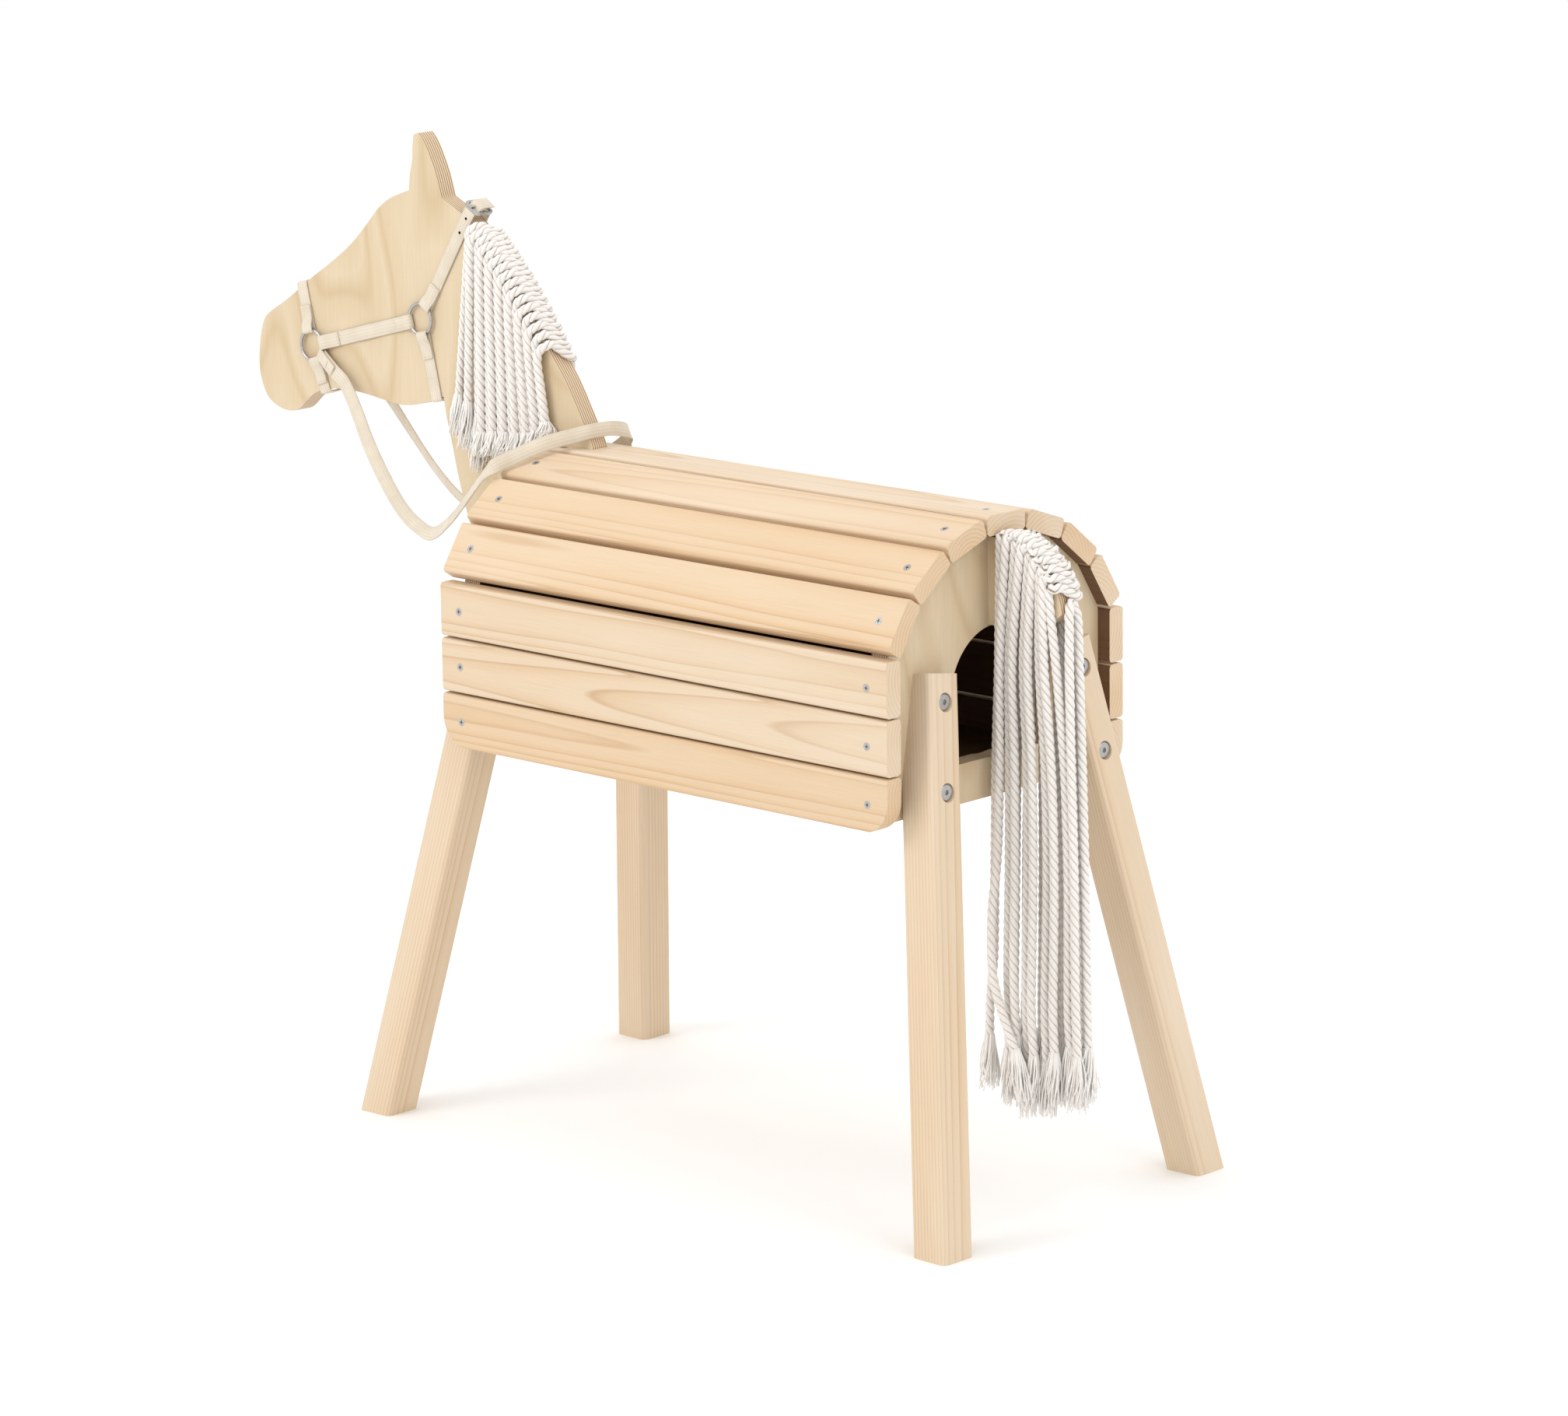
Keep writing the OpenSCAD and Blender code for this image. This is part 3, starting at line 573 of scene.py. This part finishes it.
def tail_top(i, skew=0):
    """Where a rope crosses the tail board's rounded edge, and the way out of the edge there."""
    a = math.radians(TAIL_FIRST + TAIL_STEP * i + skew)
    edge = (TAIL_MIDDLE[0] + TAIL_RADII[0] * math.sin(a), TAIL_MIDDLE[1] + TAIL_RADII[1] * math.cos(a))
    return edge, (math.sin(a), math.cos(a))


def tail_side(i, side, strand):
    e, n = tail_top(i, side * TAIL_SKEW)
    layer = TAIL_LAYER if i % 2 else 0
    swings = i == 1 and side < 0
    last = i == len(TAIL_LEFT) - 1
    route = [(x, side * y, z) for x, y, z in TAIL_END] if last else over_edge(e, n, side, layer)
    for k, (x, z) in enumerate(strand):
        bulge = TAIL_BULGE[k] if swings else 0
        pull = TAIL_PULL[i] * (FIRST_PULL if k == 0 and not last else 1)
        route.append((x, side * (OUT + layer + bulge - pull), z))
    return route


def tail_route(i):
    e, n = tail_top(i)
    over = (e[0] + n[0] * LIFT, 0, e[1] + n[1] * LIFT)
    return tail_side(i, -1, TAIL_LEFT[i])[::-1] + [over] + tail_side(i, 1, TAIL_RIGHT[i])


def axes_across(t):
    """Two directions square to a rope or yarn that runs along t; none runs straight along X."""
    u = Vector((1, 0, 0)).cross(t).normalized()
    return u, t.cross(u)


def strand_rings(points, turn, closing=3):
    """One of a rope's three strands, winding round the rope's own line; its ends are drawn in."""
    middles = []
    for i, p in enumerate(points):
        u, v = axes_across(direction(points, i))
        angle = turn - math.tau * i * (points[1] - points[0]).length / LAY_LENGTH
        middles.append(p + STRAND_MID * (math.cos(angle) * u + math.sin(angle) * v))
    rings = []
    for i, p in enumerate(middles):
        t = direction(middles, i)
        outward = p - points[i]
        u = (outward - outward.dot(t) * t).normalized()
        ends = min(i, len(middles) - 1 - i)
        radius = STRAND_R * min(1, 0.8 + 0.2 * ends / closing)
        rings.append(round_section(p, radius, u, t.cross(u), STRAND_SIDES))
    return rings


# A tuft's yarns start a little inside the rope, spread evenly over its section
GOLDEN_ANGLE = 2.4
YARNS_WITHIN = 4.1
TUCKED_IN = 4
YARN_STEPS = 7


def frayed_end(name, points, length, dice, count=56):
    """Loose yarns that carry on from a rope's last points, spread and wander."""
    tip = points[-1]
    heading = (points[-1] - points[-4]).normalized()
    heading = (heading * 0.6 + Vector((0, 0, -0.4))).normalized()
    u, v = axes_across(heading)
    tuft = Sweep()
    for k in range(count):
        angle = k * GOLDEN_ANGLE + dice.uniform(-0.3, 0.3)
        near = YARNS_WITHIN * MM * math.sqrt((k + 0.5) / count)
        far = near * dice.uniform(2.0, 3.0)
        reach = length * MM * dice.uniform(0.72, 1.0)
        sway = Vector((dice.uniform(-1, 1), dice.uniform(-0.6, 0.6), 0)) * 2.6 * MM
        phase = dice.uniform(0, math.tau)
        centre = []
        for j in range(YARN_STEPS + 1):
            s = j / YARN_STEPS
            spread = near + (far - near) * math.sin(s * math.pi / 2)
            twist = angle + 0.9 * s
            p = tip - heading * TUCKED_IN * MM + heading * (reach + TUCKED_IN * MM) * s
            p += spread * (math.cos(twist) * u + math.sin(twist) * v)
            p += sway * math.sin(phase + s * 7.0) * s
            centre.append(p)
        rings = []
        for j, p in enumerate(centre):
            radius = (0.85 - 0.3 * j / YARN_STEPS) * MM
            rings.append(round_section(p, radius, *axes_across(direction(centre, j)), 5))
        tuft.tube(rings, reach / YARN_STEPS, 4 * MM)
    return tuft.finish(name, FRAY)


def rope(name, node, route, fray_left, fray_right, seed):
    dice = random.Random(seed)
    points = spaced(to_metres(smooth(route, 2)), RING_STEP)
    start = dice.uniform(0, math.tau)
    body = Sweep()
    for k in range(3):
        body.tube(strand_rings(points, start + k * math.tau / 3), RING_STEP, math.tau * STRAND_R)
    piece = body.finish(name + "_strands", ROPE, node)
    tufts = [
        frayed_end(name + "_fray_left", points[::-1], fray_left, dice),
        frayed_end(name + "_fray_right", points, fray_right, dice),
    ]


for i in range(len(MANE_LEFT)):
    rope(f"mane_{i + 1}", f"mane_ropes_{i // 2 + 1}", mane_route(i), MANE_FRAY[i], MANE_RIGHT_FRAY, 100 + i)
for i in range(len(TAIL_LEFT)):
    rope(f"tail_{i + 1}", f"tail_rope_{i + 1}", tail_route(i), *TAIL_FRAY, 200 + i)


# ---- webbing ----

WEB_W = 15.0
WEB_T = 1.5
FRONT_RING = (-652, 744)
REAR_RING = (-486, 788)
RING_Y = PLY / 2 + 3.9
RING_R = 16.25
WEB_IN = PLY / 2 + 0.35
INNER = WEB_IN + WEB_T / 2
OUTER = INNER + WEB_T + 0.1
FOLD_END = 42
# The fold round a ring's wire: its radius, and the degrees where it starts and ends
FOLD_R = 2.9
FOLD_FROM = 62
FOLD_TO = 298


class Lie:
    """A strap's own frame at a ring: x runs away from the ring, y across the head, z across the strap."""

    def __init__(self, ring, degrees, side=1):
        a = math.radians(degrees)
        self.x = Vector((math.cos(a), 0, math.sin(a)))
        self.z = Vector((-math.sin(a), 0, math.cos(a)))
        self.side = side
        self.origin = Vector((ring[0] + BARREL_X, 0, ring[1]))

    def at(self, x, y, z=0.0):
        return (self.origin + x * self.x + Vector((0, self.side * y, 0)) + z * self.z) * MM


def tape_rings(points, wide, width, thickness):
    """Sections of a tape whose edges are a little rounded; wide gives the way across it at each point."""
    w, t = width / 2 * MM, thickness / 2 * MM
    soft = 0.45 * t
    corners = [(w - soft, t), (w, t - soft), (w, soft - t), (w - soft, -t),
               (soft - w, -t), (-w, soft - t), (-w, t - soft), (soft - w, t)]
    rings = []
    for i, p in enumerate(points):
        along = direction(points, i)
        a = wide(i, along)
        n = along.cross(a).normalized()
        rings.append([p + x * a + y * n for x, y in corners])
    return rings


def tape(name, lie, flat_route, width=WEB_W, node=None):
    points = spaced(smooth([lie.at(x, y) for x, y in flat_route], 0.4 * MM), 1.2 * MM)
    strap = Sweep()
    strap.tube(tape_rings(points, lambda i, along: lie.z, width, WEB_T), 1.2 * MM, 2 * width * MM)
    return strap.finish(name, WEBBING, node)


def round_wire():
    """The part of a fold that goes round the ring's wire, from the outer layer to the inner one."""
    steps = 7
    turns = [math.radians(FOLD_FROM + (FOLD_TO - FOLD_FROM) * k / steps) for k in range(steps + 1)]
    return [(RING_R + FOLD_R * math.cos(turn), RING_Y + FOLD_R * math.sin(turn)) for turn in turns]


def folded_start():
    return [(FOLD_END, OUTER), (34, OUTER + 0.1), (27, OUTER + 0.9), (21, RING_Y + 2.1)] + round_wire() + [
        (22, INNER + 0.3), (27, INNER + 0.05), (34, INNER), (FOLD_END, INNER)]


def stitched(name, lie, rows, y, half=5.6):
    """Rows of stitches across a strap, each a small grain of thread, a little proud of it."""
    thread = Sweep()
    for row in rows:
        for k in range(5):
            z = -half + (k + 0.5) * 2 * half / 5
            a, b = lie.at(row, y, z - 0.8), lie.at(row + 0.15, y, z + 0.8)
            rings = []
            for s, radius in ((0, 0.12), (0.15, 0.3), (0.5, 0.36), (0.85, 0.3), (1, 0.12)):
                p = a.lerp(b, s)
                rings.append(round_section(p, radius * MM, lie.x, Vector((0, 1, 0)), 6))
            thread.tube(rings, 0.4 * MM, 2 * MM)
    return thread.finish(name, THREAD)


SEAM_ROWS = (24.5, 39.5)
# From the front ring to the rear ring: degrees up from straight back, and the distance
CHEEK_TURN = 14.8
CHEEK_LENGTH = 171.7


def hoop(node, ring, degrees, reach):
    """A strap from the left ring over the board's edge to the right ring, folded and sewn at both."""
    lie = Lie(ring, degrees)
    far = reach + WEB_T / 2
    right = folded_start() + [
        (reach - 9, INNER), (reach - 3, INNER), (far - 0.5, INNER - 0.5), (far, INNER - 3),
    ]
    route = right + [(far + 0.3, 4), (far + 0.3, -4)] + [(x, -y) for x, y in right[::-1]]
    tape(node + "_tape", lie, route, node=node)
    for side, word in ((-1, "left"), (1, "right")):
        stitched(f"{node}_seam_{word}", Lie(ring, degrees, side), SEAM_ROWS, OUTER + WEB_T / 2 + 0.1)


def cheek(side, word):
    """A strap between the two rings of one side, bowed out a little, folded and sewn at both."""
    lie = Lie(FRONT_RING, CHEEK_TURN, side)
    front = folded_start()
    back = [(CHEEK_LENGTH - x, y) for x, y in front[::-1]]
    bow = [(60, INNER + 0.5), (CHEEK_LENGTH / 2, INNER + 1.1), (CHEEK_LENGTH - 60, INNER + 0.5)]
    node = "cheek_strap_" + word
    tape(node + "_tape", lie, front + bow + back, node=node)
    rows = SEAM_ROWS + (CHEEK_LENGTH - SEAM_ROWS[1], CHEEK_LENGTH - SEAM_ROWS[0])
    stitched(node + "_seam", lie, rows, OUTER + WEB_T / 2 + 0.1)


# Each hoop's ring, degrees up from straight back, and reach to the board's edge
hoop("noseband", FRONT_RING, 103.8, 66.5)
hoop("chin_strap", FRONT_RING, -71, 51)
hoop("throat_strap", REAR_RING, -77, 85.5)
cheek(-1, "left")
cheek(1, "right")

CROWN_TURN = 57.8
CROWN_REACH = 139
BAR_FOLD_R = 2.6
HOLE_R = 1.5


def crown_straps():
    """The left strap passes through the buckle's frame; the right one is sewn round its middle bar."""
    poll = WEB_IN - PLY / 2 + WEB_T / 2
    top = CROWN_REACH + poll
    rise = folded_start() + [(60, INNER + 0.3), (90, INNER + 0.3), (CROWN_REACH - 10, INNER),
                             (CROWN_REACH - 2, INNER), (top - 0.3, INNER - 0.6)]
    left = Lie(REAR_RING, CROWN_TURN, -1)
    over = [
        (top, 9.4), (top + 2.4, 7.0), (top + 6.2, 4.2),
        (top + 7.05, 1.5), (top + 7.05, -5), (top + 7.0, -13.5),
    ]
    tape("crown_strap_left_tape", left, rise + over, node="crown_strap_left")
    right = Lie(REAR_RING, CROWN_TURN, 1)
    bar = CROWN_REACH + 3.7
    loop = [(top, 8.0), (top, 3.5)] + [
        (bar + BAR_FOLD_R * math.cos(math.radians(a)), BAR_FOLD_R * math.sin(math.radians(a)))
        for a in range(170, 371, 40)
    ] + [(bar + 1.6, 2.4), (bar - 0.2, 4.6), (top + 1.7, 7.0), (top + 1.7, 9.5)]
    tape("crown_strap_right_tape", right, rise + loop, node="crown_strap_right")
    for word, lie in (("left", left), ("right", right)):
        stitched(f"crown_strap_{word}_seam", lie, SEAM_ROWS, OUTER + WEB_T / 2 + 0.1)


def punched_hole(name, lie, x, y):
    """A punched hole, shown as a flat disc painted the dark of the shade inside it, that lies just off the
    strap's face.
    """
    mesh = bmesh.new()
    bmesh.ops.create_circle(mesh, cap_ends=True, radius=HOLE_R * MM, segments=20)
    bmesh.ops.inset_region(mesh, faces=mesh.faces[:], thickness=0.35 * MM, depth=0.12 * MM)
    bmesh.ops.extrude_face_region(mesh, geom=mesh.faces[:])
    out = Vector((0, lie.side, 0))
    turn = Matrix((lie.z, out.cross(lie.z), out)).transposed().to_4x4()
    turn.translation = lie.at(x, y)
    bmesh.ops.transform(mesh, matrix=turn, verts=mesh.verts)
    bmesh.ops.delete(mesh, geom=[f for f in mesh.faces if f.calc_area() < 1e-14], context="FACES_ONLY")
    bmesh.ops.recalc_face_normals(mesh, faces=mesh.faces)
    piece = new_object(mesh, name, HOLE_PAINTED_SHADE)
    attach(piece, HORSE)


crown_straps()
punched_hole("crown_hole_side", Lie(REAR_RING, CROWN_TURN, -1), CROWN_REACH - 9, INNER + WEB_T / 2)
punched_hole("crown_hole_low", Lie(REAR_RING, CROWN_TURN, -1), CROWN_REACH - 27, INNER + 0.3 + WEB_T / 2)


# ---- rein ----

# From the left front ring down, up over the withers and back to the right front ring
REIN_ROUTE = [
    (-636, -14.4, 734.6), (-626, -17.5, 729), (-612, -20, 720.5), (-594, -22, 709), (-573, -26.5, 684),
    (-551, -32, 654), (-527, -36, 625), (-503, -40, 601), (-482, -43.5, 586), (-464, -46, 578),
    (-441, -52, 574), (-421, -58, 580), (-402, -64, 591), (-382, -71, 604), (-362, -78, 619),
    (-332, -88, 643), (-303, -97, 664), (-289, -73, 676), (-272, -46, 687), (-256, -24, 693),
    (-246, -12, 696.5), (-240, 0, 698), (-236, 12, 698), (-235, 26, 695), (-244, 44, 689),
    (-262, 62, 681), (-282, 81, 674), (-303, 97, 664), (-332, 88, 643), (-362, 78, 619),
    (-382, 71, 604), (-402, 64, 591), (-421, 58, 580), (-441, 52, 574), (-464, 46, 578),
    (-482, 43.5, 586), (-503, 40, 601), (-527, 36, 625), (-551, 32, 654), (-573, 26.5, 684),
    (-594, 22, 709), (-612, 20, 720.5), (-626, 17.5, 729), (-636, 14.4, 734.6),
]


REIN_LOOP_TURN = -31
REIN_LOOP_W = 13


def make_rein():
    points = spaced(to_metres(smooth(REIN_ROUTE, 2)), 3 * MM)

    def leaning_in(i, along):
        """The way across the strap: upright, and leaning in toward the middle the further out it is."""
        lean = -0.45 * max(-1, min(1, points[i].y / 0.05))
        up = Vector((0, lean, 0.9))
        return (up - up.dot(along) * along).normalized()

    band = Sweep()
    band.tube(tape_rings(points, leaning_in, WEB_W, WEB_T), 3 * MM, 2 * WEB_W * MM)
    piece = band.finish("rein_tape", WEBBING, "rein")
    for side, word in ((-1, "left"), (1, "right")):
        lie = Lie(FRONT_RING, REIN_LOOP_TURN, side)
        route = [(45, 21.9), (38, 20.8), (30, 19.5), (22, 17.6)] + round_wire() + [
            (21, 12.9), (27, 15.2), (33, 16.7), (38, 17.6)]
        tape(f"rein_loop_{word}", lie, route, width=REIN_LOOP_W)
        stitched(f"rein_seam_{word}", lie, (33, 42), 21.3, 4.8)


make_rein()


# ---- wood and steel of the CAD pieces ----

# Degrees that the slats tilt, from the top one down, and the legs' slopes along and across the horse
SLAT_TURN = [0, 19, 38, 57, 90, 90, 90]
LEAN = (0.1763, 0.1699)


def dress(node, material):
    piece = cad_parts[node]
    piece.data.materials.clear()
    piece.data.materials.append(material)


def dress_wood():
    # The last argument gives the way into the barrel; faces looking that way get painted shade
    dress("slat_top", pine("slat_top", Euler((0, 0, 0)), 1, (0, 0, -1)))
    for k in range(1, 7):
        tilt = math.radians(SLAT_TURN[k])
        for sign, word in ((-1, "left"), (1, "right")):
            node = f"slat_{word}_{k}"
            inside = (0, -sign * math.sin(tilt), -math.cos(tilt))
            dress(node, pine(node, Euler((sign * tilt, 0, 0)), 20 + 7 * k + sign, inside))
    for end, fore in (("front", -1), ("rear", 1)):
        for side, word in ((-1, "left"), (1, "right")):
            node = f"leg_{end}_{word}"
            rising = Vector((-LEAN[0] * fore, -LEAN[1] * side, 1))
            turn = rising.rotation_difference(Vector((1, 0, 0))).to_euler()
            dress(node, pine(node, turn, 70 + 3 * fore + side, ring=0.0036, depth=0.07, stretch=0.05,
                             wander=3.0, tilt=3.0))
    dress("front_panel", plywood("plywood_front", "X", 3, (1, 0, 0)))
    dress("rear_panel", plywood("plywood_rear", "X", 4, (-1, 0, 0)))
    dress("bottom_board", plywood("plywood_bottom", "Z", 8, (0, 0, 1)))
    dress("head_and_neck", plywood("plywood_head", "Y", 5))
    dress("tail_board", plywood("plywood_tail", "Y", 6))


dress_wood()
for node in ("leg_bolts", "leg_nuts", "slat_screws"):
    dress(node, SCREW_STEEL)
for node in ("buckle_frame", "buckle_prong", "ring_front_left", "ring_front_right", "ring_rear_left",
             "ring_rear_right"):
    dress(node, STEEL)


# ---- floor and light ----

def lay_floor():
    mesh = bmesh.new()
    bmesh.ops.create_grid(mesh, x_segments=1, y_segments=1, size=30)
    f = Finish("pale_floor")
    f.shader.inputs["Base Color"].default_value = (0.93, 0.93, 0.93, 1)
    f.shader.inputs["Roughness"].default_value = 0.8
    new_object(mesh, "floor", f.material)


def soft_light(name, place, target, size, power):
    data = bpy.data.lights.new(name, "AREA")
    data.shape = "SQUARE"
    data.size = size
    data.energy = power
    lamp = bpy.data.objects.new(name, data)
    place, target = Vector(place), Vector(target)
    facing = (place - target).to_track_quat("Z", "Y").to_matrix().to_4x4()
    lamp.matrix_world = Matrix.Translation(place) @ facing
    bpy.context.scene.collection.objects.link(lamp)


def light_studio():
    world = bpy.data.worlds.new("studio")
    world.use_nodes = True
    world.node_tree.nodes["Background"].inputs["Color"].default_value = (1, 1, 1, 1)
    world.node_tree.nodes["Background"].inputs["Strength"].default_value = 1.07
    bpy.context.scene.world = world
    middle = (0, 0, 0.5)
    soft_light("key", (-1.2, -3.4, 2.8), middle, 1.8, 44)
    soft_light("tail_side", (3.4, -0.4, 2.0), middle, 1.6, 14)
    soft_light("top", (0.2, 0.6, 3.6), middle, 2.2, 12)


lay_floor()
light_studio()
bpy.context.scene.view_settings.view_transform = "Standard"
